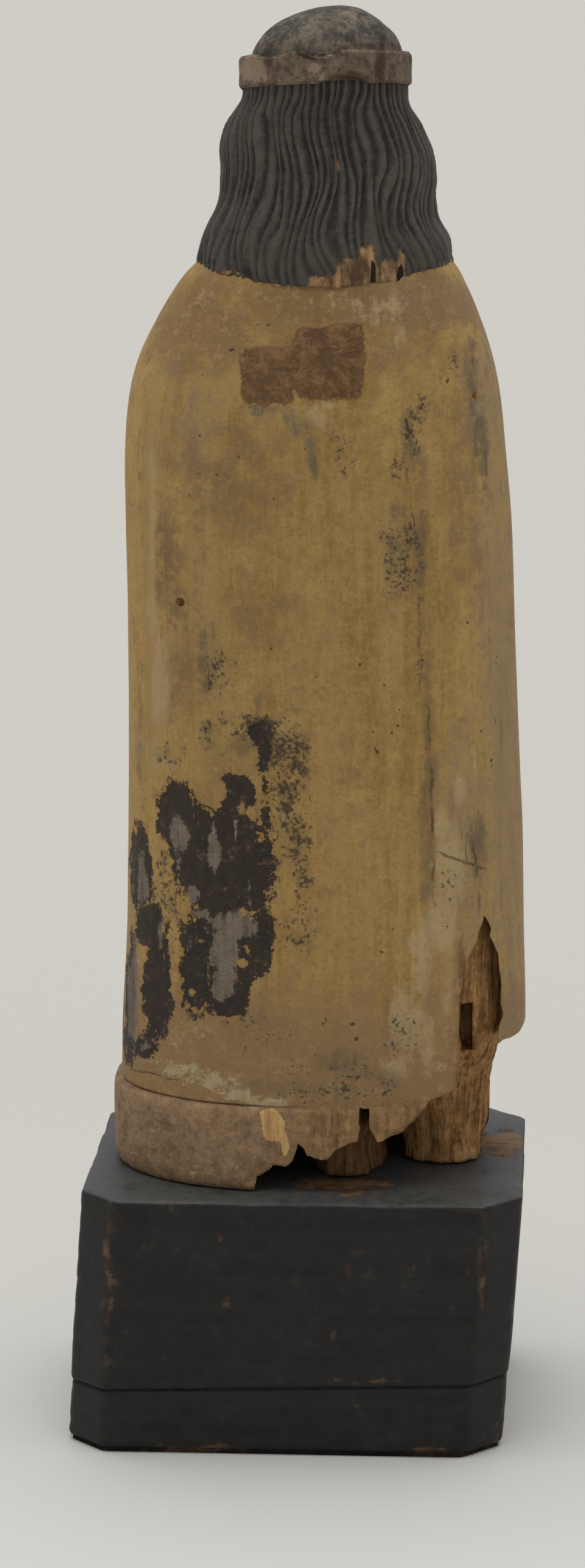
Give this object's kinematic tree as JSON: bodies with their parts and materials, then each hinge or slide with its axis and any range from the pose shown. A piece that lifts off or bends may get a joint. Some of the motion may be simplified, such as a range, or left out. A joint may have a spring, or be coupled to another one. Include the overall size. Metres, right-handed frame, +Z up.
{
  "type": "carved wooden saint figure",
  "caption": "Standing saint in a long cloak, hands joined, long wavy hair under a head band, carved in painted wood with a rotted lower corner, on a black block plinth with clipped corners",
  "frame": {"origin": "centre of the plinth's underside, on the surface it stands on", "axes": "+Z up; the saint looks along -Y, its cloaked back faces +Y, and +X is at its left hand"},
  "size_m": [0.1358, 0.106, 0.4203],
  "materials": {
    "aged_polychrome": "worn ochre paint over carved wood, with flaked dark patches and raw wood at the rotted corner",
    "black_painted_wood": "old satin black paint, rubbed brown at the edges"
  },
  "bodies": {
    "root": {"saint_figure": "aged_polychrome", "plinth_block": "black_painted_wood", "plinth_board": "black_painted_wood"}
  },
  "joints": []
}
